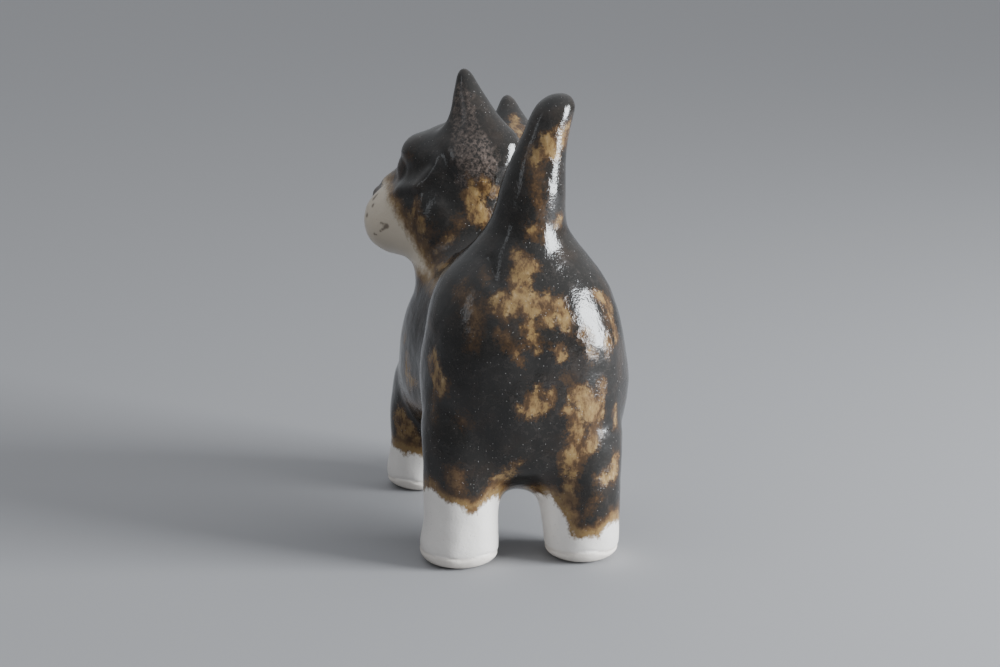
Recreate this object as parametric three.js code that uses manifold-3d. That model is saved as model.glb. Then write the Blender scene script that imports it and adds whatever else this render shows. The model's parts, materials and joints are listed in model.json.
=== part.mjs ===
// Standing ceramic cat figurine, hand-built from clay pieces that are scored, slipped and pressed together.
// Units are millimetres. +Z is up, the body faces +Y, and the head looks over the cat's left side, to -X.
// The soles of the four feet lie on Z = 0, under the centre of the figurine's own box.
import * as THREE from "three";
import { mergeVertices } from "three/addons/utils/BufferGeometryUtils.js";
import Module from "manifold-3d";

const wasm = await Module();
wasm.setup();

// Driving dimensions.
const JOINT_GAP = 0.3; // slip line between two clay pieces
const TORSO = {
  middle: -1, // centre of the trunk along Y
  halfLength: 35,
  endPower: 3, // how squarely the rump and the chest turn in
  upperPower: 2.35, // roundness of the back
  lowerPower: 2.7, // roundness of the belly
};
// A foot that splays is wider than the leg above it, and one with a negative splay tapers to its sole.
const LEGS = {
  hind_left_leg: { out: -1, x: -12, y: -25, height: 31, radius: 7.1, thigh: 7.6, lean: 1.2, splay: 0.3 },
  hind_right_leg: { out: 1, x: 10.5, y: -25.4, height: 31, radius: 7.7, thigh: 8, lean: 1, splay: -0.6 },
  front_left_leg: { out: -1, x: -12.5, y: 23.5, height: 28, radius: 6.5, thigh: 6.2, lean: 2, splay: 0.1 },
  front_right_leg: { out: 1, x: 12, y: 23.8, height: 28, radius: 6.6, thigh: 6.4, lean: 2, splay: 0.2 },
};
const SOLE_EDGE = 2.2; // rounding between the flat sole and the side of the foot
const THIGH_ROUNDING = 8; // rounding of the upper end, where a leg is pressed against the trunk
const TAIL = { baseHeight: 48, tipHeight: 84.4, tipRounding: 3.4 };
const HEAD = {
  at: [-2.6, 24, 60.5],
  yaw: THREE.MathUtils.degToRad(58), // turned to the cat's left
  roll: THREE.MathUtils.degToRad(14), // cocked, so that the left ear is the higher one
  half: [12.4, 11.8, 12],
  power: 2.35,
};
const BROW = { x: 5.2, y: 5.9, z: 5, half: [5.4, 6, 4] };
const CHEEK = { x: 5.6, y: 2.2, z: -4.8, half: [6.9, 8.6, 7.4] };
const EYE = { x: 5.6, y: 10, z: 1.8, radius: 2.8 };
const MUZZLE = { at: [0, 12.1, -7.5], half: [7.2, 7.6, 6], power: 2.4 };
const BRIDGE = { at: [0, 11.6, -2.2], half: [3.8, 7, 3.6] }; // of the nose, joined to the muzzle
const NOSE = { at: [0, 17.7, -3], half: [2.6, 2.6, 2] };
const EARS = {
  left_ear: { side: -1, x: 7.2, y: 0.4, root: -3, tip: 21.8 },
  right_ear: { side: 1, x: 7.4, y: -1, root: -3, tip: 19.4 },
};
const NECK = { from: [0.4, 14, 41], to: [-2.6, 22.5, 56] };

const COLOURS = {
  glaze: { color: 0x23211f, roughness: 0.16, metalness: 0 },
  clay: { color: 0xd9d3ca, roughness: 0.45, metalness: 0 },
  nose: { color: 0x5a4038, roughness: 0.25, metalness: 0 },
  eye: { color: 0x2a2015, roughness: 0.1, metalness: 0 },
};

// A smooth curve through [position, value] pairs, as a function of the position.
function profile(pairs) {
  const curve = new THREE.CubicInterpolant(
    pairs.map(([at]) => at),
    pairs.map(([, value]) => value),
    1,
  );
  return (at) => curve.evaluate(at)[0];
}

const signedPower = (value, power) =>
  Math.sign(value) * Math.abs(value) ** power;

// Closes a stack of rings, each with the same number of points, into one surface with a fan at each end.
function loft(rings) {
  const count = rings[0].length;
  const centre = (ring) =>
    ring
      .reduce((sum, p) => sum.add(p), new THREE.Vector3())
      .divideScalar(count);
  const last = rings.length - 1;
  const points = [...rings.flat(), centre(rings[0]), centre(rings[last])];
  const index = [];
  for (let i = 0; i < last; i++) {
    for (let j = 0; j < count; j++) {
      const next = (j + 1) % count;
      const [a, b] = [i * count + j, i * count + next];
      index.push(a, b, b + count, a, b + count, a + count);
    }
  }
  const bottom = points.length - 2;
  for (let j = 0; j < count; j++) {
    const next = (j + 1) % count;
    index.push(bottom, next, j, bottom + 1, last * count + j, last * count + next);
  }
  return new THREE.BufferGeometry().setFromPoints(points).setIndex(index);
}

// Turns a closed geometry into a solid, so that it can be joined and cut.
function solid(geometry) {
  const bare = geometry.clone();
  bare.deleteAttribute("normal");
  bare.deleteAttribute("uv");
  const merged = mergeVertices(bare, 1e-4);
  return new wasm.Manifold(
    new wasm.Mesh({
      numProp: 3,
      vertProperties: merged.attributes.position.array,
      triVerts: new Uint32Array(merged.index.array),
    }),
  );
}

// The solid's surface as a geometry that a mesh can show.
function surface(body) {
  const { vertProperties, triVerts } = body.getMesh();
  const geometry = new THREE.BufferGeometry();
  geometry.setAttribute("position", new THREE.BufferAttribute(vertProperties, 3));
  geometry.setIndex(new THREE.BufferAttribute(triVerts, 1));
  geometry.computeVertexNormals();
  return geometry;
}

// A ball of clay pressed out of round: an ellipsoid whose power above 2 makes it boxier.
function lump(half, at = [0, 0, 0], power = 2, detail = 24, grow = 0) {
  const ball = new THREE.SphereGeometry(1, detail, Math.round(detail * 0.75));
  const place = ball.attributes.position;
  const point = new THREE.Vector3();
  for (let i = 0; i < place.count; i++) {
    point.fromBufferAttribute(place, i);
    const size =
      (Math.abs(point.x) ** power + Math.abs(point.y) ** power + Math.abs(point.z) ** power) **
      (-1 / power);
    point.multiplyScalar(size);
    point.multiply(new THREE.Vector3(half[0] + grow, half[1] + grow, half[2] + grow));
    place.setXYZ(i, point.x, point.y, point.z);
  }
  ball.rotateX(Math.PI / 2);
  ball.scale(1, (half[1] + grow) / (half[2] + grow), (half[2] + grow) / (half[1] + grow));
  ball.translate(...at);
  return ball;
}

// A limb of stacked level ovals. Each station is [height, centre x, centre y, half width, half depth].
// soleEdge rounds the lower end over to a flat face, and tip rounds the upper end off to a point.
function limb(stations, { rings, segments, soleEdge = 0, tip = 0, grow = 0 }) {
  const spacing = (share) => {
    if (soleEdge && tip) return (1 - Math.cos(share * Math.PI)) / 2;
    if (soleEdge) return 1 - Math.cos((share * Math.PI) / 2);
    return tip ? Math.sin((share * Math.PI) / 2) : share;
  };
  const column = (k) => profile(stations.map((station) => [station[0], station[k]]));
  const [centreX, centreY, halfX, halfY] = [1, 2, 3, 4].map(column);
  const low = stations[0][0];
  const high = stations.at(-1)[0];
  const made = [];
  for (let i = 0; i <= rings; i++) {
    const z = low + (high - low) * spacing(i / rings);
    const fromSole = Math.min(z - low, soleEdge);
    const inset = soleEdge ? soleEdge - Math.sqrt(soleEdge ** 2 - (soleEdge - fromSole) ** 2) : 0;
    const fromTip = tip ? Math.min((high - z) / tip, 1) : 1;
    const taper = Math.max(Math.sqrt(1 - (1 - fromTip) ** 2), 0.04);
    const ring = [];
    for (let j = 0; j < segments; j++) {
      const turn = (j / segments) * Math.PI * 2;
      ring.push(
        new THREE.Vector3(
          centreX(z) + (halfX(z) * taper - inset + grow) * Math.cos(turn),
          centreY(z) + (halfY(z) * taper - inset + grow) * Math.sin(turn),
          z,
        ),
      );
    }
    made.push(ring);
  }
  return loft(made);
}

// The trunk: ovals across the body from the chest to the rump. The back dips behind the shoulders.
function trunk(grow = 0) {
  const rings = 32;
  const segments = 40;
  const spine = profile([[-36, 0.8], [-15, 0.7], [10, 0], [34, -0.4]]);
  const halfWidth = profile([[-36, 20.4], [-23, 20.4], [-10, 16.9], [0, 15], [16, 18.2], [34, 18.4]]);
  const flank = profile([[-36, 34], [-20, 33], [0, 29], [16, 26], [34, 26]]);
  const back = profile([[-36, 61], [-18, 60.4], [2, 52.6], [16, 50.4], [34, 45]]);
  const belly = profile([[-36, 9.6], [-20, 10.2], [0, 13], [20, 11.5], [34, 12]]);
  const made = [];
  for (let i = 1; i < rings; i++) {
    const along = Math.cos((i / rings) * Math.PI);
    const y = TORSO.middle + TORSO.halfLength * along;
    const turnedIn = (1 - Math.abs(along) ** TORSO.endPower) ** (1 / TORSO.endPower);
    const ring = [];
    for (let j = 0; j < segments; j++) {
      const turn = (j / segments) * Math.PI * 2;
      const isUpper = Math.sin(turn) > 0;
      const power = 2 / (isUpper ? TORSO.upperPower : TORSO.lowerPower);
      const reach = isUpper ? back(y) - flank(y) : flank(y) - belly(y);
      ring.push(
        new THREE.Vector3(
          spine(y) + (halfWidth(y) * turnedIn + grow) * signedPower(Math.cos(turn), power),
          y + grow * along,
          flank(y) + (reach * turnedIn + grow) * signedPower(Math.sin(turn), power),
        ),
      );
    }
    made.push(ring);
  }
  return loft(made);
}

// The short thick neck, pulled up from the trunk towards the back of the turned head.
function neck(grow = 0) {
  const low = new THREE.Vector3(...NECK.from);
  const high = new THREE.Vector3(...NECK.to);
  const station = (share, halfWidth, halfDepth) => {
    const at = low.clone().lerp(high, share);
    return [at.z, at.x, at.y, halfWidth, halfDepth];
  };
  return limb(
    [station(0, 14.4, 15), station(0.3, 13.4, 13.6), station(0.65, 12.4, 12.2), station(1, 11.2, 10.8)],
    { rings: 9, segments: 28, grow },
  );
}

// A leg from its flat sole to its rounded thigh inside the flank. out is -1 for a left leg, 1 for a right.
function leg({ out, x, y, height, radius, thigh, lean, splay }, grow = 0) {
  return limb(
    [
      [0, x, y + 0.6, radius + splay - 0.3, radius + splay + 0.3],
      [4, x, y + 0.6, radius + splay, radius + splay + 0.5],
      [9, x - out * 0.4, y, radius - 0.3, radius - 0.2],
      [16, x - out * 0.6, y, radius, radius + 0.2],
      [height, x - out * lean, y + 0.8, thigh, thigh + 1.4],
    ],
    { rings: 16, segments: 24, soleEdge: SOLE_EDGE, tip: THIGH_ROUNDING, grow },
  );
}

// The raised tail: thick where it grows out of the rump, and leaning to the cat's right as it thins.
function tail(grow = 0) {
  return limb(
    [
      [TAIL.baseHeight, 0.6, -20.5, 8.4, 9.4],
      [56, 0.8, -21.4, 7.6, 8.4],
      [62, 1.2, -22, 6.7, 7.2],
      [67.6, 1.9, -22.6, 5.8, 6.1],
      [72, 2.7, -23, 4.9, 5.1],
      [77, 4, -23.2, 4.2, 4.2],
      [81, 5.2, -23.2, 3.8, 3.8],
      [TAIL.tipHeight, 6.8, -23, 3.6, 3.6],
    ],
    { rings: 22, segments: 20, tip: TAIL.tipRounding, grow },
  );
}

// The skull with its brows and cheeks, in the head's own frame: the face is towards +Y.
function skull(grow = 0) {
  let body = solid(lump(HEAD.half, [0, 0, 0], HEAD.power, 32, grow));
  for (const side of [-1, 1]) {
    const brow = lump(BROW.half, [side * BROW.x, BROW.y, BROW.z], 2, 20, grow);
    const cheek = lump(CHEEK.half, [side * CHEEK.x, CHEEK.y, CHEEK.z], 2, 20, grow);
    body = body.add(solid(brow)).add(solid(cheek));
  }
  return body;
}

// An ear: a steep front edge, a ridge that slopes down to the back of the skull, and a scooped front face.
function ear({ side, x, y, root, tip }) {
  const rise = tip - root;
  const station = (share, outward, front, rear, halfWidth) => [
    root + rise * share,
    side * (x + outward),
    y + (front + rear) / 2,
    halfWidth,
    (front - rear) / 2,
  ];
  const cone = limb(
    [
      station(0, -1.8, 2.8, -9.5, 5.2),
      station(0.25, -0.6, 2.8, -12.8, 5.8),
      station(0.48, -0.1, 2.4, -12.8, 5),
      station(0.7, 1.1, 1.1, -7.8, 3.6),
      station(0.85, 1.8, 0.2, -4.9, 2.4),
      station(1, 2.5, -0.5, -2.5, 1.1),
    ],
    { rings: 17, segments: 24, tip: 1.4 },
  );
  const scoop = lump([3.2, 3, rise * 0.3], [0, 0, 0], 2, 20);
  scoop.rotateX(THREE.MathUtils.degToRad(4));
  scoop.translate(side * (x + 1.2), y + 3.3, root + rise * 0.67);
  return solid(cone).subtract(solid(scoop));
}

function material(name) {
  return new THREE.MeshStandardMaterial({ name, ...COLOURS[name] });
}

function piece(name, body, look) {
  const mesh = new THREE.Mesh(surface(body), look);
  mesh.name = name;
  return mesh;
}

const looks = Object.fromEntries(Object.keys(COLOURS).map((name) => [name, material(name)]));
const figurine = new THREE.Group();

// The head's pieces share a turned group, and its pose is needed again to seat the head on the trunk.
const headGroup = new THREE.Group();
headGroup.position.set(...HEAD.at);
headGroup.rotation.set(0, HEAD.roll, HEAD.yaw, "ZYX");
headGroup.updateMatrix();
const toHead = headGroup.matrix.clone().invert();
const seenFromHead = (geometry) => solid(geometry.clone().applyMatrix4(toHead));

const muzzleBall = solid(lump(MUZZLE.half, MUZZLE.at, MUZZLE.power, 24));
const bridgeBall = solid(lump(BRIDGE.half, BRIDGE.at, 2, 16));
const noseBall = (grow) => solid(lump(NOSE.half, NOSE.at, 2, 16, grow));
const eyeBall = (side, grow) => {
  const half = Array(3).fill(EYE.radius);
  return solid(lump(half, [side * EYE.x, EYE.y, EYE.z], 2, 16, grow));
};

const neckInHead = seenFromHead(neck(JOINT_GAP));
const trunkInHead = seenFromHead(trunk(JOINT_GAP));
const headBody = skull()
  .subtract(eyeBall(-1, JOINT_GAP))
  .subtract(eyeBall(1, JOINT_GAP))
  .subtract(trunkInHead)
  .subtract(neckInHead);
headGroup.add(piece("head", headBody, looks.glaze));

const grownSkull = skull(JOINT_GAP);
for (const [name, plan] of Object.entries(EARS)) {
  headGroup.add(piece(name, ear(plan).subtract(grownSkull), looks.glaze));
}
const muzzleBody = muzzleBall
  .add(bridgeBall)
  .subtract(grownSkull)
  .subtract(trunkInHead)
  .subtract(neckInHead)
  .subtract(noseBall(JOINT_GAP))
  .subtract(eyeBall(-1, JOINT_GAP))
  .subtract(eyeBall(1, JOINT_GAP));
headGroup.add(piece("muzzle", muzzleBody, looks.clay));
headGroup.add(piece("nose", noseBall(0), looks.nose));
headGroup.add(piece("left_eye", eyeBall(-1, 0), looks.eye));
headGroup.add(piece("right_eye", eyeBall(1, 0), looks.eye));
figurine.add(headGroup);

figurine.add(piece("torso", solid(trunk()).add(solid(neck())), looks.glaze));
const grownTrunk = solid(trunk(JOINT_GAP));
figurine.add(piece("tail", solid(tail()).subtract(grownTrunk), looks.glaze));
for (const [name, plan] of Object.entries(LEGS)) {
  figurine.add(piece(name, solid(leg(plan)).subtract(grownTrunk), looks.clay));
}

// The origin goes to the middle of the box on the ground.
const box = new THREE.Box3().setFromObject(figurine, true);
const middle = box.getCenter(new THREE.Vector3());
for (const child of figurine.children) {
  child.position.sub(new THREE.Vector3(middle.x, middle.y, box.min.z));
}

export default figurine;
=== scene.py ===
"""Looks of the hand-built ceramic cat.

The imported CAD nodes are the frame. Their clay pieces are smeared into one continuous skin, as a potter's
thumb does. The skin is then glazed and shared out again, one shown piece to each node.
"""

import json
import math
from types import SimpleNamespace

import bpy
import numpy as np
import openvdb
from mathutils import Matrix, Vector

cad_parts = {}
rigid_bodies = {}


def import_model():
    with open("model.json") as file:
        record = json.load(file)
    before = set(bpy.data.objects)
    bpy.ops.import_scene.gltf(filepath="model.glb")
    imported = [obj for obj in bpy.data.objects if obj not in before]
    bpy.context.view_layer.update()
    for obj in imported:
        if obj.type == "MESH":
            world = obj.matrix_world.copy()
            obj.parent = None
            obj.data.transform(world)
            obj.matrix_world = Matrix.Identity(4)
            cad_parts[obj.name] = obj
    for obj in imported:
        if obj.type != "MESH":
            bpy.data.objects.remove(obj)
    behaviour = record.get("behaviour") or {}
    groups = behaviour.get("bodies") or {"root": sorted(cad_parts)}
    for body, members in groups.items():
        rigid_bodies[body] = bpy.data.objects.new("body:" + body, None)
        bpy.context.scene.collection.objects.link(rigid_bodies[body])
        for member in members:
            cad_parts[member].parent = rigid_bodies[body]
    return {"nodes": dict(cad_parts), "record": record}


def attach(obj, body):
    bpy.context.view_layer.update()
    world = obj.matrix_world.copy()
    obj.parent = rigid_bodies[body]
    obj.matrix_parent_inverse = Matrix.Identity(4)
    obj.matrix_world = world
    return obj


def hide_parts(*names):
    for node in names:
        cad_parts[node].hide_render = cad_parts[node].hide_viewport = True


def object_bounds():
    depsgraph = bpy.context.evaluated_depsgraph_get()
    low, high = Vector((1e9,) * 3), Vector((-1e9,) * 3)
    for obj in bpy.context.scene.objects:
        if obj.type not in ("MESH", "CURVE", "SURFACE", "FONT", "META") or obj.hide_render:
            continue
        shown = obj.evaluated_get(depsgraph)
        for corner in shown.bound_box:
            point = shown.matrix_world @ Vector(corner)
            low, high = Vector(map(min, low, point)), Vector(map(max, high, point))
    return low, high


for leftover in list(bpy.data.objects):
    bpy.data.objects.remove(leftover)
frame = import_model()
cad_low, cad_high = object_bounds()
NODES = frame["nodes"]
MM = 0.001

# Clay. Lengths are in millimetres.
VOXEL = 0.4
BAND = 16  # half width of each distance field, in voxels
SLIP_GAP = 0.15  # half the gap that the CAD leaves between two pieces
CAP_DEPTH = 0.8  # how far the hidden end of a shown piece goes down into the clay
# Each piece in the order it is added: its own softening, and over what radius its joint is smeared.
PIECES = {
    "torso": (1.8, 0),
    "hind_left_leg": (1.1, 4),
    "hind_right_leg": (1.1, 4),
    "front_left_leg": (1.1, 4),
    "front_right_leg": (1.1, 4),
    "tail": (1.1, 6),
    "head": (1.0, 7),
    "left_ear": (0.35, 3),
    "right_ear": (0.35, 3),
    "muzzle": (0.7, 7),
    "left_eye": (0.3, 1.2),
    "right_eye": (0.3, 1.2),
    "nose": (0.4, 1.0),
}

# Glaze. Each stroke is a dab of a small brush: the side it comes from, the piece it lands on, where it starts
# and ends as seen from that side, and its radius at both ends, in millimetres.
NO_STROKE = -6.0  # the depth of a point that is far outside every stroke
SIDES = {  # the way to the painter, and which coordinates say across and along
    "rear": ((0, -1, 0), 0, 2),
    "front": ((0, 1, 0), 0, 2),
    "left": ((-1, 0, 0), 1, 2),
    "right": ((1, 0, 0), 1, 2),
    "top": ((0, 0, 1), 0, 1),
}
OCHRE = (
    # the patch at the root of the tail
    ("rear", "torso", (-1, 54), (-1, 50), 1.8, 2.4),
    ("rear", "torso", (-4, 50), (4, 49), 2.0, 2.4),
    ("rear", "torso", (3, 47), (4, 46), 1.4, 0.9),
    ("rear", "torso", (0, 46), (1, 41), 0.8, 0.6),
    ("rear", "torso", (-3, 41), (-1, 39), 0.6, 0.5),
    # the right haunch
    ("rear", "torso", (6, 49), (7, 46), 1.6, 1.4),
    ("rear", "torso", (10, 44), (12, 40), 1.0, 0.8),
    ("rear", "torso", (13, 50), (16, 47), 1.0, 1.3),
    ("rear", "torso", (16, 46), (17, 42), 0.9, 0.8),
    ("rear", "torso", (15, 42), (15, 40), 0.8, 0.7),
    ("rear", "torso", (6, 41), (6, 40), 0.8, 0.7),
    # the diamond in the middle of the rump
    ("rear", "torso", (1, 34), (1, 31), 0.9, 1.9),
    ("rear", "torso", (-1, 31), (3, 31), 1.1, 1.2),
    ("rear", "torso", (4, 34), (4, 33), 0.6, 0.6),
    # the large patch down the right thigh, round a dark hole
    ("rear", "torso", (10, 32), (12, 29), 2.0, 2.2),
    ("rear", "torso", (7, 30), (10, 29), 0.7, 1.2),
    ("rear", "torso", (14, 34), (13, 29), 0.9, 1.2),
    ("rear", "torso", (9, 29), (9, 21), 1.5, 1.8),
    ("rear", "torso", (13, 29), (13, 22), 1.3, 1.1),
    ("rear", "torso", (8, 21), (8, 19), 1.6, 1.5),
    ("rear", "hind_right_leg", (8, 18), (7.5, 12.5), 1.5, 1.0),
    ("rear", "torso", (9, 22), (12, 20), 1.6, 1.1),
    ("rear", "hind_right_leg", (13, 17), (15, 16.5), 0.5, 0.7),
    ("rear", "torso", (17, 28), (17, 26), 0.7, 0.6),
    ("rear", "hind_right_leg", (17, 20), (16, 16.5), 0.9, 1.0),
    # the left flank, the crotch and the front left leg
    ("rear", "torso", (-16, 38), (-15, 34), 1.6, 2.0),
    ("rear", "torso", (-2, 20), (-4, 16), 0.5, 1.6),
    ("rear", "front_left_leg", (-16, 15), (-15, 11), 2.2, 3.0),
    # the tail
    ("rear", "tail", (2, 74), (8, 77), 1.1, 1.9),
    ("rear", "tail", (5, 77), (6, 75), 1.6, 1.2),
    ("rear", "tail", (1, 61), (1, 61), 1.1, 1.1),
    ("rear", "tail", (7, 63), (7, 62), 0.6, 0.6),
    # the left cheek, the jaw and the far ear
    ("rear", "head", (-3, 61), (-1.5, 57.5), 1.8, 2.0),
    ("rear", "head", (-3, 64), (-3, 61), 0.8, 1.5),
    ("rear", "head", (-1, 62), (3, 61.5), 1.6, 1.0),
    ("rear", "right_ear", (8, 73), (9, 71), 1.0, 1.3),
    ("left", "muzzle", (23, 58.5), (19, 56), 0.8, 1.5),
    ("left", "head", (17, 56), (13, 54), 1.7, 2.0),
    ("left", "head", (14, 59), (14, 55), 0.7, 1.5),
    ("left", "torso", (14, 52), (12, 50), 2.0, 1.5),
    ("left", "torso", (12, 50), (11, 47), 1.4, 0.8),
    ("left", "torso", (10, 50), (9, 53), 0.3, 0.6),
    ("rear", "tail", (-1.5, 58), (-1, 53), 0.6, 1.8),
    # the sides that face away
    ("left", "torso", (2, 46), (-1, 44), 2.6, 1.6),
    ("left", "torso", (-1, 42), (-5, 43), 1.2, 2.4),
    ("left", "torso", (-3, 40), (-4, 36), 1.6, 0.9),
    ("left", "torso", (-7, 36), (-5, 33), 1.4, 2.2),
    ("left", "torso", (9, 30), (8, 26), 1.2, 2.4),
    ("left", "torso", (7, 25), (4, 26), 1.8, 0.9),
    ("left", "torso", (12, 33), (12, 33), 0.9, 0.9),
    ("left", "torso", (24, 38), (26, 35), 1.4, 2.4),
    ("left", "torso", (29, 34), (28, 30), 1.8, 1.0),
    ("right", "torso", (-15, 48), (-12, 46), 2.4, 1.4),
    ("right", "torso", (-11, 45), (-12, 41), 1.6, 2.6),
    ("right", "torso", (-10, 40), (-6, 41), 1.8, 0.9),
    ("right", "torso", (-6, 48), (-4, 48), 0.8, 1.2),
    ("right", "torso", (-20, 31), (-17, 27), 1.2, 2.8),
    ("right", "torso", (-15, 26), (-11, 28), 2.2, 0.9),
    ("right", "torso", (-17, 35), (-16, 36), 1.0, 0.7),
    ("right", "torso", (1, 34), (3, 30), 1.0, 1.8),
    ("right", "torso", (-1, 27), (2, 29), 0.8, 1.2),
    ("right", "torso", (2, 47), (5, 44), 1.0, 1.6),
    ("right", "torso", (11, 38), (13, 33), 1.0, 2.8),
    ("right", "torso", (15, 34), (19, 35), 2.0, 1.0),
    ("right", "torso", (16, 29), (18, 26), 1.2, 2.0),
    ("right", "torso", (24, 35), (28, 38), 1.2, 2.6),
    ("right", "torso", (26, 31), (24, 28), 1.4, 0.8),
    ("right", "head", (22, 58), (24, 55), 1.4, 2.2),
    ("right", "head", (26, 55), (30, 54), 1.6, 1.0),
    ("right", "head", (31, 62), (33, 60), 1.0, 1.6),
    ("top", "torso", (-6, -13), (-3, -9), 2.4, 1.2),
    ("top", "torso", (-1, -11), (2, -8), 1.0, 1.8),
    ("top", "torso", (6, 0), (4, 8), 2.2, 2.6),
    ("top", "torso", (-8, 4), (-10, 8), 1.2, 1.8),
    ("front", "tail", (2, 66), (4, 72), 1.6, 1.4),
    ("front", "torso", (12, 30), (10, 24), 2.6, 1.6),
    ("front", "torso", (-12, 26), (-13, 32), 2.2, 1.2),
)
BROWN = (
    ("rear", "torso", (-11, 51), (-9, 47), 2.0, 2.4),
    ("rear", "torso", (-9, 47), (-10, 42), 2.4, 1.4),
    ("rear", "torso", (-8, 49), (-4, 47), 1.4, 1.2),
    ("rear", "torso", (-5, 45), (-3, 42), 1.2, 1.2),
    ("rear", "torso", (-3, 42), (2, 43), 1.0, 1.0),
    ("rear", "torso", (-7, 54), (-7, 53), 1.0, 0.8),
    ("rear", "torso", (-11, 28), (-12, 22), 1.4, 2.0),
    ("rear", "torso", (-13, 21), (-16, 20), 2.2, 2.0),
    ("rear", "hind_left_leg", (-13, 18), (-12, 15), 2.4, 1.8),
    ("rear", "torso", (-16, 31), (-16, 28), 1.4, 1.0),
    ("rear", "torso", (7, 36), (9, 34), 0.8, 0.8),
    ("rear", "hind_right_leg", (13, 13), (10, 10), 1.4, 1.2),
    ("rear", "tail", (1, 74), (3, 67), 1.8, 1.5),
    ("rear", "tail", (4, 68), (4, 60), 1.2, 1.0),
    ("rear", "tail", (0, 56), (1, 52), 1.0, 1.0),
    # the nape, in streaks that follow the shoulder
    ("left", "torso", (15, 45), (9, 51), 1.7, 1.4),
    ("left", "torso", (12, 43), (6, 49), 1.3, 1.2),
    ("left", "torso", (17, 49), (11, 54), 1.6, 1.5),
    ("left", "torso", (10, 49), (9, 52), 1.3, 1.4),
    ("left", "torso", (9, 52), (9, 56), 1.3, 1.5),
    ("left", "head", (21, 66), (19, 67), 0.9, 1.1),
    ("left", "torso", (-12, 39), (-13, 34), 1.6, 2.6),
    ("left", "torso", (-16, 32), (-11, 29), 1.8, 1.2),
    ("left", "torso", (16, 34), (22, 28), 1.6, 2.0),
    ("right", "torso", (-24, 40), (-20, 46), 1.8, 1.4),
    ("right", "torso", (0, 28), (8, 26), 1.6, 1.6),
    ("right", "head", (20, 64), (26, 66), 1.6, 2.0),
    ("front", "torso", (8, 42), (12, 38), 1.6, 1.6),
)
FRECKLES = (
    ("rear", "left_ear", (-5, 80), (-4, 74), 1.6, 3.2),
    ("rear", "left_ear", (-4, 74), (-2, 67), 3.0, 4.0),
    ("rear", "head", (-3, 66), (-1, 63), 2.4, 2.0),
    ("right", "right_ear", (22, 76), (24, 70), 1.2, 2.6),
)
WHITE = (
    ("rear", "hind_left_leg", (-17, 12), (-15, 9), 2.6, 4.6),
    ("rear", "hind_left_leg", (-9, 5), (-9, 3), 5.8, 6.6),
    ("rear", "hind_left_leg", (-5, 9), (-6, 5), 4.0, 6.0),
    ("rear", "hind_right_leg", (3, 8), (4, 4), 4.6, 6.0),
    ("rear", "hind_right_leg", (9, 1), (13, 1), 4.2, 4.0),
    ("rear", "hind_right_leg", (17, 4), (17, 2), 3.6, 4.0),
    # the bib
    ("front", "torso", (-2, 43), (0, 34), 6.0, 5.0),
    ("front", "torso", (0, 34), (2, 27), 4.4, 2.2),
)
MARKS = (
    ("left", "muzzle", (26, 59), (26, 58), 0.3, 0.45),
    ("left", "muzzle", (24.5, 57), (24.5, 57), 0.4, 0.4),
    ("left", "muzzle", (25.5, 55), (25.5, 55), 0.45, 0.45),
    ("left", "muzzle", (21, 54), (20, 53), 0.15, 0.35),
    ("left", "muzzle", (20, 53), (21.5, 52), 0.35, 0.15),
    ("left", "muzzle", (22.5, 51), (23, 51), 0.1, 0.28),
    ("rear", "hind_left_leg", (-15, 15), (-15, 15), 0.3, 0.3),
)
# How far the dark slip spreads past the edge of these pieces.
SLIPPED = {"nose": 0.3, "left_eye": -0.4, "right_eye": -0.4}
# The glaze line where each leg was dipped: its mean height, how far it is higher on one side, and the bearing
# of that side in degrees from +X towards +Y.
DIPS = {
    "hind_left_leg": (10.5, 2.5, 180),
    "hind_right_leg": (5.4, 3.0, 150),
    "front_left_leg": (9.5, 1.5, 70),
    "front_right_leg": (11.0, 2.0, 60),
}
LEG_REACH = 9  # beyond this distance from its axis, the belly begins
# The white of the face: everything on the far side of a plane through FACE_EDGE, down to the collar.
FACE_EDGE = (-16, 21, 56)
FACE_TOWARD = (-0.75, 0.25, -0.6)
COLLAR = 46.5

# Tool marks. Each is a ridge, or a groove when its height is negative, laid down as a stroke is: the side,
# the piece, the start and the end as seen from that side, its breadth and its height.
TOOL_MARKS = (
    ("left", "muzzle", (21, 60), (20, 61), 1.2, 0.3),
    ("left", "head", (20, 61), (15, 62), 1.4, 0.5),
    ("left", "head", (15, 62), (14, 65), 1.2, 0.3),
    ("left", "head", (18, 64.5), (15, 66), 1.7, -0.4),
    ("left", "head", (14, 68), (13.5, 60), 1.0, 0.12),
    ("left", "head", (13.5, 60), (14, 52), 1.0, 0.1),
    ("rear", "torso", (-6, 56), (-5.5, 53), 1.2, -0.35),
    ("rear", "torso", (-8, 33), (-10, 24), 4.0, -0.25),
    ("rear", "torso", (4, 26), (4, 20), 4.0, -0.25),
    ("rear", "hind_right_leg", (12, 15), (12.5, 13.5), 2.0, 0.35),
)
SEED = 7
RIPPLES = ((19, 0.14), (11, 0.07), (6, 0.03), (3.2, 0.012))  # the length and the height of each kind of wave
WAVES = 7  # of each kind
WAVE_SHARE = 0.53  # of the stated height, so that the waves of one kind add up to about that height
RIM = 2.4  # height of the worked rim above each sole
PROBE = 0.05  # step for finding the slope of the relief

# The room. The bearing of a direction is in degrees from behind the cat towards its right.
CAMERA_AIM = (-1.6, -15.6, 39.5)
CAMERA_TOWARD = (-9.5, 13)
CAMERA_DISTANCE = 430
LIGHT_AIM = (0, 0, 0.04)  # in metres
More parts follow.
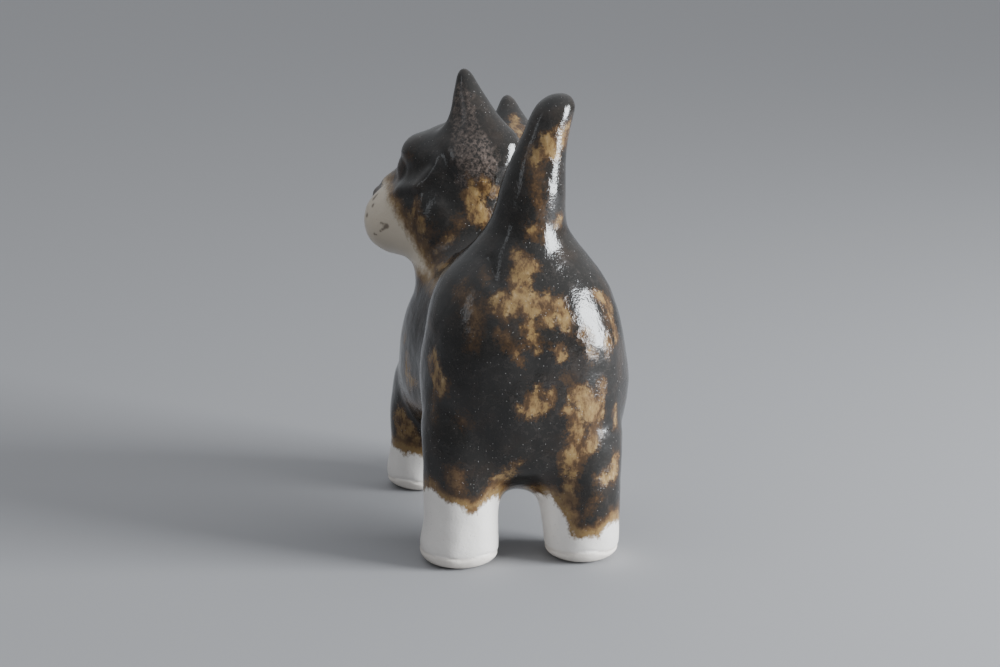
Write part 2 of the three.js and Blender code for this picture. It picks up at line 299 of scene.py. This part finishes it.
# Each light: where it is, how far off and how large in metres, its power in watts and its colour.
LIGHTS = {
    "window": ((63, 17), 0.55, (0.26, 0.29), 10, (0.93, 0.97, 1.0)),
    "far window": ((-75, 27), 0.7, (0.1, 0.3), 0.15, (0.9, 0.95, 1.0)),
}
ROOM_COLOUR = (0.93, 0.96, 1.0)
ROOM_LOW = 0.34  # brightness of the room near the floor
ROOM_HIGH = 0.95  # and overhead
ROOM_SIDE = (0.2, 0.98)  # how much brighter it is towards +X, and how bright it is straight behind
FLOOR_GREY = (0.285, 0.285, 0.295)


class Grid:
    """A box of regular samples round the whole figurine."""

    def __init__(self, low, high, pad):
        self.first = np.floor((np.array(low) - pad) / VOXEL).astype(int)
        last = np.ceil((np.array(high) + pad) / VOXEL).astype(int)
        self.shape = tuple(last - self.first + 1)
        self.transform = openvdb.createLinearTransform(voxelSize=VOXEL)

    def sample(self, field, points):
        """Reads a field at points in millimetres, by trilinear interpolation."""
        place = points / VOXEL - self.first
        cell = np.clip(np.floor(place).astype(int), 0, np.array(self.shape) - 2)
        share = (place - cell).astype(np.float32)
        total = np.zeros(len(points), np.float32)
        for corner in np.ndindex(2, 2, 2):
            weight = np.prod(np.where(corner, share, 1 - share), axis=1)
            total += weight * field[tuple((cell + corner).T)]
        return total


def soften(field, sigma):
    """Blurs a field, as a wet sponge does clay."""
    reach = int(math.ceil(3 * sigma / VOXEL))
    steps = np.arange(-reach, reach + 1) * VOXEL
    weights = np.exp(-0.5 * (steps / sigma) ** 2)
    weights /= weights.sum()
    for axis in range(3):
        size = field.shape[axis]
        padding = [(reach, reach) if a == axis else (0, 0) for a in range(3)]
        padded = np.pad(field, padding, mode="edge")
        field = np.zeros_like(field)
        for k, weight in enumerate(weights.astype(np.float32)):
            window = [slice(None)] * 3
            window[axis] = slice(k, k + size)
            field += weight * padded[tuple(window)]
    return field


def distance_to(grid, name):
    """Signed distance from a CAD node, negative inside, in millimetres."""
    mesh = NODES[name].data
    mesh.calc_loop_triangles()
    points = np.empty(len(mesh.vertices) * 3, np.float32)
    mesh.vertices.foreach_get("co", points)
    triangles = np.empty(len(mesh.loop_triangles) * 3, np.int32)
    mesh.loop_triangles.foreach_get("vertices", triangles)
    level = openvdb.FloatGrid.createLevelSetFromPolygons(
        points.reshape(-1, 3) / MM,
        triangles=triangles.reshape(-1, 3).astype(np.uint32),
        transform=grid.transform,
        halfWidth=BAND,
    )
    field = np.empty(grid.shape, np.float32)
    level.copyToArray(field, ijk=tuple(int(i) for i in grid.first))
    return field


def smear(a, b, radius):
    """The nearer of two surfaces, rounded over a radius where they meet."""
    if radius == 0:
        return np.minimum(a, b)
    near = np.maximum(radius - np.abs(a - b), 0) / radius
    return np.minimum(a, b) - near * near * radius / 4


def model_clay():
    """The grid, the distance to the smeared clay on it, and the distance to each CAD node on it."""
    grid = Grid(cad_low / MM, cad_high / MM, 3)
    distances = {}
    clay = None
    for name, (softness, radius) in PIECES.items():
        distances[name] = distance_to(grid, name) - SLIP_GAP
        soft = soften(distances[name], softness)
        clay = soft if clay is None else smear(clay, soft, radius)
    return grid, clay + SLIP_GAP, distances


class Skin:
    """The surface of the clay: vertices, quads, smooth outward normals, and the piece each is part of."""

    def __init__(self, grid, clay, distances):
        level = openvdb.FloatGrid(background=float(BAND * VOXEL))
        level.transform = grid.transform
        level.copyFromArray(clay, ijk=tuple(int(i) for i in grid.first))
        points, quads = level.convertToQuads(isovalue=0)
        slope = [g.astype(np.float32) for g in np.gradient(clay, VOXEL)]
        points = points.astype(np.float64)
        for _ in range(3):
            value = grid.sample(clay, points)
            normals = np.stack([grid.sample(g, points) for g in slope], axis=1)
            steep = np.maximum((normals**2).sum(1), 0.05)
            points -= normals * (value / steep)[:, None]
        self.points = points
        self.normals = normals / np.linalg.norm(normals, axis=1)[:, None]
        self.quads = self.outward(quads)
        self.pieces = np.array(list(distances))
        self.away = self.to_pieces(grid, distances, points)
        self.owner = self.pieces[self.away.argmin(axis=1)]
        centres = points[self.quads].mean(axis=1)
        self.quad_owner = self.pieces[self.to_pieces(grid, distances, centres).argmin(axis=1)]

    def outward(self, quads):
        """The quads, turned round if they face inwards."""
        a, b, c = (self.points[quads[:, i]] for i in range(3))
        facing = np.einsum("ij,ij->i", np.cross(b - a, c - a), self.normals[quads[:, 0]])
        return quads[:, ::-1] if facing.mean() < 0 else quads

    def to_pieces(self, grid, distances, points):
        """How far each point is from each CAD node."""
        return np.stack([grid.sample(d, points) for d in distances.values()], axis=1)


def brush_point(skin, side, piece, place):
    """Where a brush that comes from one side first touches a piece."""
    toward, first, second = SIDES[side]
    reachable = (skin.owner == piece) & (skin.normals @ np.array(toward) > 0.1)
    spots = skin.points[reachable]
    off = np.hypot(spots[:, first] - place[0], spots[:, second] - place[1])
    under = spots[off < off.min() + VOXEL]
    return under[(under @ np.array(toward)).argmax()]


def along(points, start, end):
    """How far points are from a line between two others, and how far along it, from 0 to 1."""
    way = end - start
    share = np.clip((points - start) @ way / max(way @ way, 1e-6), 0, 1)
    return np.linalg.norm(points - start - share[:, None] * way, axis=1), share


def brushed(skin, strokes):
    """How deep each point of the skin lies inside the nearest stroke, in millimetres; negative outside."""
    depth = np.full(len(skin.points), NO_STROKE)
    for side, piece, start, end, start_radius, end_radius in strokes:
        ends = (brush_point(skin, side, piece, place) for place in (start, end))
        away, share = along(skin.points, *ends)
        depth = np.maximum(depth, start_radius + (end_radius - start_radius) * share - away)
    return depth


def sole_centre(leg):
    """The middle of the flat sole that a CAD leg stands on, across and along the figurine."""
    places = np.array([v.co for v in NODES[leg].data.vertices]) / MM
    sole = places[places[:, 2] < VOXEL]
    return (sole.min(axis=0) + sole.max(axis=0))[:2] / 2


def dipped(points):
    """How far each point is below the glaze line of the nearest leg, in millimetres."""
    depth = np.full(len(points), NO_STROKE)
    for leg, (height, swing, bearing) in DIPS.items():
        x, y = sole_centre(leg)
        across, along_y = points[:, 0] - x, points[:, 1] - y
        turn = np.arctan2(along_y, across) - math.radians(bearing)
        line = height + swing * np.cos(turn) + 0.3 * swing * np.cos(3 * turn)
        beyond = np.maximum(np.hypot(across, along_y) - LEG_REACH, 0)
        depth = np.maximum(depth, line - points[:, 2] - 2 * beyond)
    return depth


def face_white(points):
    """How deep each point is inside the white of the face, in millimetres."""
    forward = (points - np.array(FACE_EDGE)) @ np.array(FACE_TOWARD)
    return np.maximum(np.minimum(forward, points[:, 2] - COLLAR), NO_STROKE)


def slipped(skin):
    """How deep each point is inside the dark slip on the nose and the eyes, in millimetres."""
    depth = np.full(len(skin.points), NO_STROKE)
    for piece, spread in SLIPPED.items():
        own = skin.pieces == piece
        inside = skin.away[:, ~own].min(axis=1) - skin.away[:, own][:, 0]
        depth = np.maximum(depth, inside / 2 + spread)
    return depth


def thumbed(points, marks):
    """The relief that hands and tools leave on the clay, in millimetres. It fades out at the sole."""
    rng = np.random.default_rng(SEED)
    height = np.zeros(len(points))
    for length, depth in RIPPLES:
        for _ in range(WAVES):
            wave = rng.normal(size=3)
            wave *= 2 * math.pi / length / np.linalg.norm(wave)
            height += depth * WAVE_SHARE * np.sin(points @ wave + rng.uniform(0, 2 * math.pi))
    for start, end, breadth, rise in marks:
        away, _ = along(points, start, end)
        height += rise * np.exp(-((away / breadth) ** 2))
    low = points[:, 2]
    rim = RIM + 0.35 * np.sin(points[:, 0] * 0.7) + 0.25 * np.sin(points[:, 1] * 0.5)
    height -= 0.13 * np.exp(-(((low - rim) / 0.3) ** 2))
    height += 0.16 * np.clip((rim - low) / 0.5, 0, 1)
    return height * np.clip((low - 0.3) / 1.5, 0, 1)


def sculpt(skin):
    """Adds the relief to the skin and turns its normals with it."""
    marks = []
    for side, piece, start, end, breadth, rise in TOOL_MARKS:
        ends = [brush_point(skin, side, piece, place) for place in (start, end)]
        marks.append((*ends, breadth, rise))
    here = thumbed(skin.points, marks)
    beside = [thumbed(skin.points + PROBE * axis, marks) for axis in np.eye(3)]
    slope = (np.stack(beside, axis=1) - here[:, None]) / PROBE
    skin.points = skin.points + here[:, None] * skin.normals
    tilt = slope - np.einsum("ij,ij->i", slope, skin.normals)[:, None] * skin.normals
    skin.normals = skin.normals - tilt
    skin.normals /= np.linalg.norm(skin.normals, axis=1)[:, None]


def loops_of(quads):
    """The open edges of some quads, chained into closed loops of vertices."""
    corners = [(q[i], q[(i + 1) % 4]) for q in quads.tolist() for i in range(4)]
    edges = set(corners)
    following = {}
    for a, b in corners:
        if (b, a) not in edges:
            following.setdefault(a, []).append(b)
    loops = []
    while following:
        start = next(iter(following))
        loop = [start]
        while True:
            options = following[loop[-1]]
            ahead = options.pop()
            if not options:
                del following[loop[-1]]
            if ahead == start:
                break
            loop.append(ahead)
        loops.append(loop)
    return loops


def capped(points, facing, faces):
    """Closes some faces over each open loop, by a wall that goes straight down into the clay and a fan."""
    source = list(range(len(points)))
    points, facing, faces = list(points), list(facing), faces.tolist()
    for loop in loops_of(np.array(faces)):
        wall = [len(points) + k for k in range(len(loop))]
        apex = len(points) + len(loop)
        sunk = [points[k] - CAP_DEPTH * facing[k] for k in loop]
        way_in = np.mean([facing[k] for k in loop], axis=0)
        points += sunk + [np.mean(sunk, axis=0) - way_in]
        facing += [facing[k] for k in loop] + [way_in]
        source += loop + [loop[0]]
        for k in range(len(loop)):
            n = (k + 1) % len(loop)
            faces.append([loop[n], loop[k], wall[k], wall[n]])
            faces.append([wall[n], wall[k], apex])
    return np.array(points), np.array(facing), faces, source


def build_piece(skin, node, paint, material):
    """One shown piece: its share of the skin, closed inside at each joint."""
    used, local = np.unique(skin.quads[skin.quad_owner == node], return_inverse=True)
    points, facing, faces, source = capped(skin.points[used], skin.normals[used], local.reshape(-1, 4))
    mesh = bpy.data.meshes.new("clay_" + node)
    mesh.from_pydata((points * MM).tolist(), [], faces)
    mesh.polygons.foreach_set("use_smooth", [True] * len(faces))
    for key, values in paint.items():
        layer = mesh.attributes.new(key, "FLOAT", "POINT")
        layer.data.foreach_set("value", values[used[source]].astype(np.float32))
    mesh.normals_split_custom_set_from_vertices(facing.tolist())
    mesh.materials.append(material)
    piece = bpy.data.objects.new("clay_" + node, mesh)
    bpy.context.scene.collection.objects.link(piece)
    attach(piece, "root")
    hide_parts(node)


def slot_of(node):
    """The material slot that the record gives a node."""
    for part in frame["record"]["subparts"]:
        if part["node"] == node:
            return part["material_slot"]
    raise KeyError(node)


class Nodes:
    """Writes a material's node tree as sums."""

    def __init__(self, name):
        self.material = bpy.data.materials.new(name)
        self.material.use_nodes = True
        self.tree = self.material.node_tree
        self.shader = self.tree.nodes["Principled BSDF"]
        place = self.add("ShaderNodeTexCoord").outputs["Object"]
        scaled = self.add("ShaderNodeVectorMath", operation="SCALE")
        scaled.inputs["Scale"].default_value = 1 / MM
        self.tree.links.new(place, scaled.inputs[0])
        self.place = scaled.outputs[0]
        axes = self.add("ShaderNodeSeparateXYZ")
        self.tree.links.new(self.place, axes.inputs[0])
        self.height = axes.outputs["Z"]

    def add(self, kind, **settings):
        made = self.tree.nodes.new(kind)
        for key, value in settings.items():
            setattr(made, key, value)
        return made

    def feed(self, socket, value):
        if isinstance(value, bpy.types.NodeSocket):
            self.tree.links.new(value, socket)
        else:
            socket.default_value = value

    def math(self, operation, a, b=0.0, c=0.0):
        made = self.add("ShaderNodeMath", operation=operation)
        for socket, value in zip(made.inputs, (a, b, c)):
            self.feed(socket, value)
        return made.outputs[0]

    def attribute(self, name):
        return self.add("ShaderNodeAttribute", attribute_name=name).outputs["Fac"]

    def stretched(self, stretch):
        made = self.add("ShaderNodeVectorMath", operation="MULTIPLY")
        self.feed(made.inputs[0], self.place)
        made.inputs[1].default_value = stretch
        return made.outputs[0]

    def noise(self, size, detail=2.0, rough=0.5, stretch=(1, 1, 1)):
        """Noise centred on zero, between about -0.5 and 0.5; size is in millimetres."""
        made = self.add("ShaderNodeTexNoise")
        self.feed(made.inputs["Vector"], self.stretched(stretch))
        made.inputs["Scale"].default_value = 1 / size
        made.inputs["Detail"].default_value = detail
        made.inputs["Roughness"].default_value = rough
        return self.math("SUBTRACT", made.outputs["Fac"], 0.5)

    def cells(self, size):
        """Distance to the nearest of some scattered points in millimetres, and a random number for each."""
        made = self.add("ShaderNodeTexVoronoi")
        self.feed(made.inputs["Vector"], self.place)
        made.inputs["Scale"].default_value = 1 / size
        lone = self.add("ShaderNodeSeparateColor")
        self.feed(lone.inputs[0], made.outputs["Color"])
        return self.math("MULTIPLY", made.outputs["Distance"], size), lone.outputs[0]

    def step(self, value, start, end, low=0.0, high=1.0):
        """A smooth step from low to high as the value goes from start to end."""
        made = self.add("ShaderNodeMapRange", interpolation_type="SMOOTHSTEP")
        for socket, given in zip(made.inputs, (value, start, end, low, high)):
            self.feed(socket, given)
        return made.outputs[0]

    def mix(self, share, below, above):
        made = self.add("ShaderNodeMix", data_type="RGBA")
        self.feed(made.inputs["Factor"], share)
        for socket, colour in ((made.inputs[6], below), (made.inputs[7], above)):
            self.feed(socket, colour if isinstance(colour, bpy.types.NodeSocket) else (*colour, 1))
        return made.outputs[2]

    def sum(self, *terms):
        total = terms[0]
        for term in terms[1:]:
            total = self.math("ADD", total, term)
        return total

    def times(self, value, factor, more=0.0):
        """The value times a factor, plus a bit more."""
        return self.math("MULTIPLY_ADD", value, factor, more)


BLACK = (0.0115, 0.0105, 0.0092)
BLACK_BROWN = (0.022, 0.016, 0.012)
DARK_BROWN = (0.050, 0.027, 0.012)
RUST = (0.115, 0.066, 0.028)
TAN = (0.195, 0.124, 0.049)
CREAM = (0.345, 0.248, 0.128)
SMOKE = (0.045, 0.038, 0.034)
FRECKLE = (0.15, 0.114, 0.096)
CHALK = (0.70, 0.67, 0.635)
# a darker, creamier white for the face and the chest: partly the glaze's own cream tone, partly painted shade
IVORY_AND_SHADE = (0.51, 0.445, 0.355)
BARE_CLAY = (0.66, 0.61, 0.55)
# grey for the pinholes: a painted glint, not a colour of the glaze
PINHOLE_GLINT = (0.30, 0.29, 0.28)
SLIP = (0.018, 0.013, 0.011)
SLIP_LIGHT = (0.07, 0.045, 0.033)


def grain_of(g):
    """The noises that make the glaze uneven."""
    return SimpleNamespace(
        broad=g.noise(5.0, 3, 0.55),
        cloud=g.noise(2.6, 5, 0.7),
        tint=g.noise(1.9, 6, 0.68, (1, 1, 0.55)),
        ragged=g.noise(1.6, 6, 0.66, (1, 1, 0.75)),
        speckle=g.noise(0.7, 6, 0.8),
        fine=g.noise(0.45, 4, 0.6),
    )


def painted(g, grain):
    """How far inside each painted layer a point is, with the layers' edges broken up by the grain."""
    broad, ragged, fine = grain.broad, grain.ragged, grain.fine
    slip = g.sum(g.attribute("slip"), g.times(fine, 0.7), g.times(ragged, 0.4))
    freckles = g.sum(g.attribute("freckles"), g.times(ragged, 5.0))
    edge = g.sum(g.times(broad, 2.0), g.times(ragged, 4.8), g.times(fine, 2.4))
    return SimpleNamespace(
        ochre=g.sum(g.attribute("ochre"), edge),
        brown=g.sum(g.attribute("brown"), g.times(ragged, 6.0), g.times(fine, 4.0)),
        white=g.sum(g.attribute("white"), g.times(broad, 1.4), g.times(ragged, 3.0), g.times(fine, 1.2)),
        mark=g.sum(g.attribute("mark"), g.times(fine, 0.5)),
        freckles=g.step(freckles, -0.8, 1.0),
        slip=g.step(slip, -0.2, 0.15),
    )


def dark_coat(g, grain, layer):
    """The iron black, with its brown clouds and the freckles."""
    body = g.mix(g.step(grain.broad, -0.05, 0.25), BLACK, BLACK_BROWN)
    body = g.mix(g.step(grain.speckle, 0.02, 0.2, 0.0, 0.65), body, SMOKE)
    body = g.mix(g.step(grain.cloud, 0.02, 0.2, 0.0, 0.4), body, SMOKE)
    body = g.mix(g.step(layer.brown, -0.8, 1.4, 0.0, 0.85), body, DARK_BROWN)
    body = g.mix(g.step(layer.brown, 0.8, 2.6, 0.0, 0.8), body, RUST)
    speckled = g.step(grain.speckle, -0.1, 0.16, 0.0, 0.9)
    return g.mix(g.times(speckled, layer.freckles), body, FRECKLE)


def ochre_coat(g, grain, layer, body):
    """The ochre patches, mottled inside and dark round the edge."""
    patch = g.mix(g.step(grain.tint, -0.12, -0.01), DARK_BROWN, RUST)
    patch = g.mix(g.step(grain.tint, -0.05, 0.06), patch, TAN)
    patch = g.mix(g.step(grain.tint, 0.06, 0.22, 0.0, 0.8), patch, CREAM)
    body = g.mix(g.step(layer.ochre, -1.0, 0.0, 0.0, 0.85), body, DARK_BROWN)
    return g.mix(g.step(layer.ochre, -0.2, 0.8), body, patch)


def white_coat(g, grain, layer, body):
    """The white of the feet, the chest and the face, with the fringe where the dark glaze thins out. On the
    face and the chest the white is darker: partly a creamier glaze, partly painted shade.
    """
    fringe = g.sum(layer.white, g.times(grain.broad, 2.6))
    body = g.mix(g.step(fringe, -3.8, -2.4, 0.0, 0.8), body, DARK_BROWN)
    body = g.mix(g.step(fringe, -2.8, -1.8, 0.0, 0.9), body, RUST)
    body = g.mix(g.step(fringe, -2.2, -1.0), body, g.mix(g.step(grain.tint, -0.12, 0.0), RUST, TAN))
    # Above 30 to 45 mm the white darkens to ivory: partly a creamier glaze, partly painted shade on the face
    # and the chest
    pale_and_shaded = g.mix(g.step(g.height, 30, 45), CHALK, IVORY_AND_SHADE)
    veil = g.step(g.height, 30, 45, 1.0, 0.45)  # on the face and the chest the white thins out more slowly
    body = g.mix(g.step(g.times(layer.white, veil), -0.7, 0.3), body, pale_and_shaded)
    return g.mix(g.step(g.height, 2.9, 2.3, 0.0, 0.8), body, BARE_CLAY)


def details(g, grain, layer, pinhole, body):
    """The brushed marks, the dark slip of the nose and the eyes, and the pinholes, lightened to grey as a
    painted glint.
    """
    body = g.mix(g.step(layer.mark, -0.25, 0.2, 0.0, 0.75), body, DARK_BROWN)
    body = g.mix(layer.slip, body, g.mix(g.step(grain.tint, -0.2, 0.25), SLIP, SLIP_LIGHT))
    # The pinholes are lightened towards grey: a painted glint.
    return g.mix(g.times(pinhole, 0.6), body, PINHOLE_GLINT)


def roughness(g, grain, layer):
    """Glossy where the glaze is dark, satin where it is white or freckled, and matt on bare clay."""
    matt = g.math("MAXIMUM", g.step(layer.white, -0.8, 0.6, 0.13, 0.34), g.times(layer.freckles, 0.26))
    matt = g.math("MINIMUM", matt, g.times(layer.slip, -0.2, 0.34))
    bare = g.step(g.height, 2.9, 2.4, 0.0, 0.4)
    return g.sum(matt, bare, g.times(grain.fine, 0.06))


def uneven(g, layer, pinhole):
    """The small unevenness of the glaze, in millimetres."""
    return g.sum(
        g.times(g.noise(6.0, 2), 0.08),
        g.times(g.noise(1.3, 2), 0.065),
        g.times(g.noise(0.4, 2), 0.035),
        g.times(g.step(layer.ochre, -0.6, 0.8), -0.03),
        g.times(pinhole, -0.04),
    )


def glaze(slot):
    """A tortoiseshell glaze: iron black, broken by ochre, running thin over white at the feet and face."""
    g = Nodes(slot)
    grain = grain_of(g)
    layer = painted(g, grain)
    pit, chance = g.cells(0.65)
    # Pinholes: real dents in the bump, and a painted glint in the colour
    pinhole = g.math("MULTIPLY", g.step(pit, 0.05, 0.11, 1.0, 0.0), g.step(chance, 0.6, 0.65))

    body = dark_coat(g, grain, layer)
    body = ochre_coat(g, grain, layer, body)
    body = white_coat(g, grain, layer, body)
    g.feed(g.shader.inputs["Base Color"], details(g, grain, layer, pinhole, body))
    g.feed(g.shader.inputs["Roughness"], roughness(g, grain, layer))
    g.shader.inputs["IOR"].default_value = 1.52

    bump = g.add("ShaderNodeBump")
    bump.inputs["Distance"].default_value = MM
    g.feed(bump.inputs["Height"], uneven(g, layer, pinhole))
    g.feed(g.shader.inputs["Normal"], bump.outputs[0])
    return g.material


def floor():
    """A plain pale floor, which is part of the stage and not of the figurine."""
    bpy.ops.mesh.primitive_plane_add(size=6, location=(0, 0, 0))
    plane = bpy.context.object
    plane.name = "floor"
    g = Nodes("floor")
    g.shader.inputs["Base Color"].default_value = (*FLOOR_GREY, 1)
    g.shader.inputs["Roughness"].default_value = 0.85
    plane.data.materials.append(g.material)


def soft_light(name, place, size, power, colour):
    """A rectangular light, in metres and watts, that faces the figurine."""
    light = bpy.data.lights.new(name, "AREA")
    light.shape = "RECTANGLE"
    light.size, light.size_y = size
    light.energy = power
    light.color = colour
    lamp = bpy.data.objects.new(name, light)
    bpy.context.scene.collection.objects.link(lamp)
    lamp.location = place
    aim = Vector(LIGHT_AIM) - Vector(place)
    lamp.rotation_euler = aim.to_track_quat("-Z", "Y").to_euler()


def direction(azimuth, elevation):
    """A unit vector from the figurine towards a bearing."""
    a, e = math.radians(azimuth), math.radians(elevation)
    return Vector((math.sin(a) * math.cos(e), -math.cos(a) * math.cos(e), math.sin(e)))


def camera():
    back = direction(*CAMERA_TOWARD)
    data = bpy.data.cameras.new("camera")
    data.lens = 85
    data.sensor_width = 36
    data.clip_start = 0.01
    cam = bpy.data.objects.new("camera", data)
    bpy.context.scene.collection.objects.link(cam)
    cam.location = (Vector(CAMERA_AIM) + back * CAMERA_DISTANCE) * MM
    cam.rotation_euler = (-back).to_track_quat("-Z", "Y").to_euler()
    bpy.context.scene.camera = cam


def world():
    """A pale room that is brighter overhead and on the cat's right."""
    sky = bpy.data.worlds.new("studio")
    sky.use_nodes = True
    nodes, links = sky.node_tree.nodes, sky.node_tree.links
    axes = nodes.new("ShaderNodeSeparateXYZ")
    links.new(nodes.new("ShaderNodeTexCoord").outputs["Generated"], axes.inputs[0])
    rise = nodes.new("ShaderNodeMapRange")
    rise.interpolation_type = "SMOOTHSTEP"
    links.new(axes.outputs["Z"], rise.inputs["Value"])
    for key, value in (("From Min", -0.1), ("From Max", 1.0), ("To Min", ROOM_LOW), ("To Max", ROOM_HIGH)):
        rise.inputs[key].default_value = value
    side = nodes.new("ShaderNodeMath")
    side.operation = "MULTIPLY_ADD"
    links.new(axes.outputs["X"], side.inputs[0])
    side.inputs[1].default_value, side.inputs[2].default_value = ROOM_SIDE
    strength = nodes.new("ShaderNodeMath")
    strength.operation = "MULTIPLY"
    links.new(rise.outputs[0], strength.inputs[0])
    links.new(side.outputs[0], strength.inputs[1])
    background = nodes["Background"]
    background.inputs["Color"].default_value = (*ROOM_COLOUR, 1)
    links.new(strength.outputs[0], background.inputs["Strength"])
    bpy.context.scene.world = sky


camera()
floor()
world()
for name, (bearing, distance, size, power, colour) in LIGHTS.items():
    soft_light(name, direction(*bearing) * distance, size, power, colour)

skin = Skin(*model_clay())
sculpt(skin)
paint = {
    "ochre": brushed(skin, OCHRE),
    "brown": brushed(skin, BROWN),
    "freckles": brushed(skin, FRECKLES),
    "white": np.maximum.reduce([brushed(skin, WHITE), dipped(skin.points), face_white(skin.points)]),
    "mark": brushed(skin, MARKS),
    "slip": slipped(skin),
}
glazes = {slot: glaze(slot) for slot in sorted({slot_of(node) for node in PIECES})}
for node in PIECES:
    build_piece(skin, node, paint, glazes[slot_of(node)])
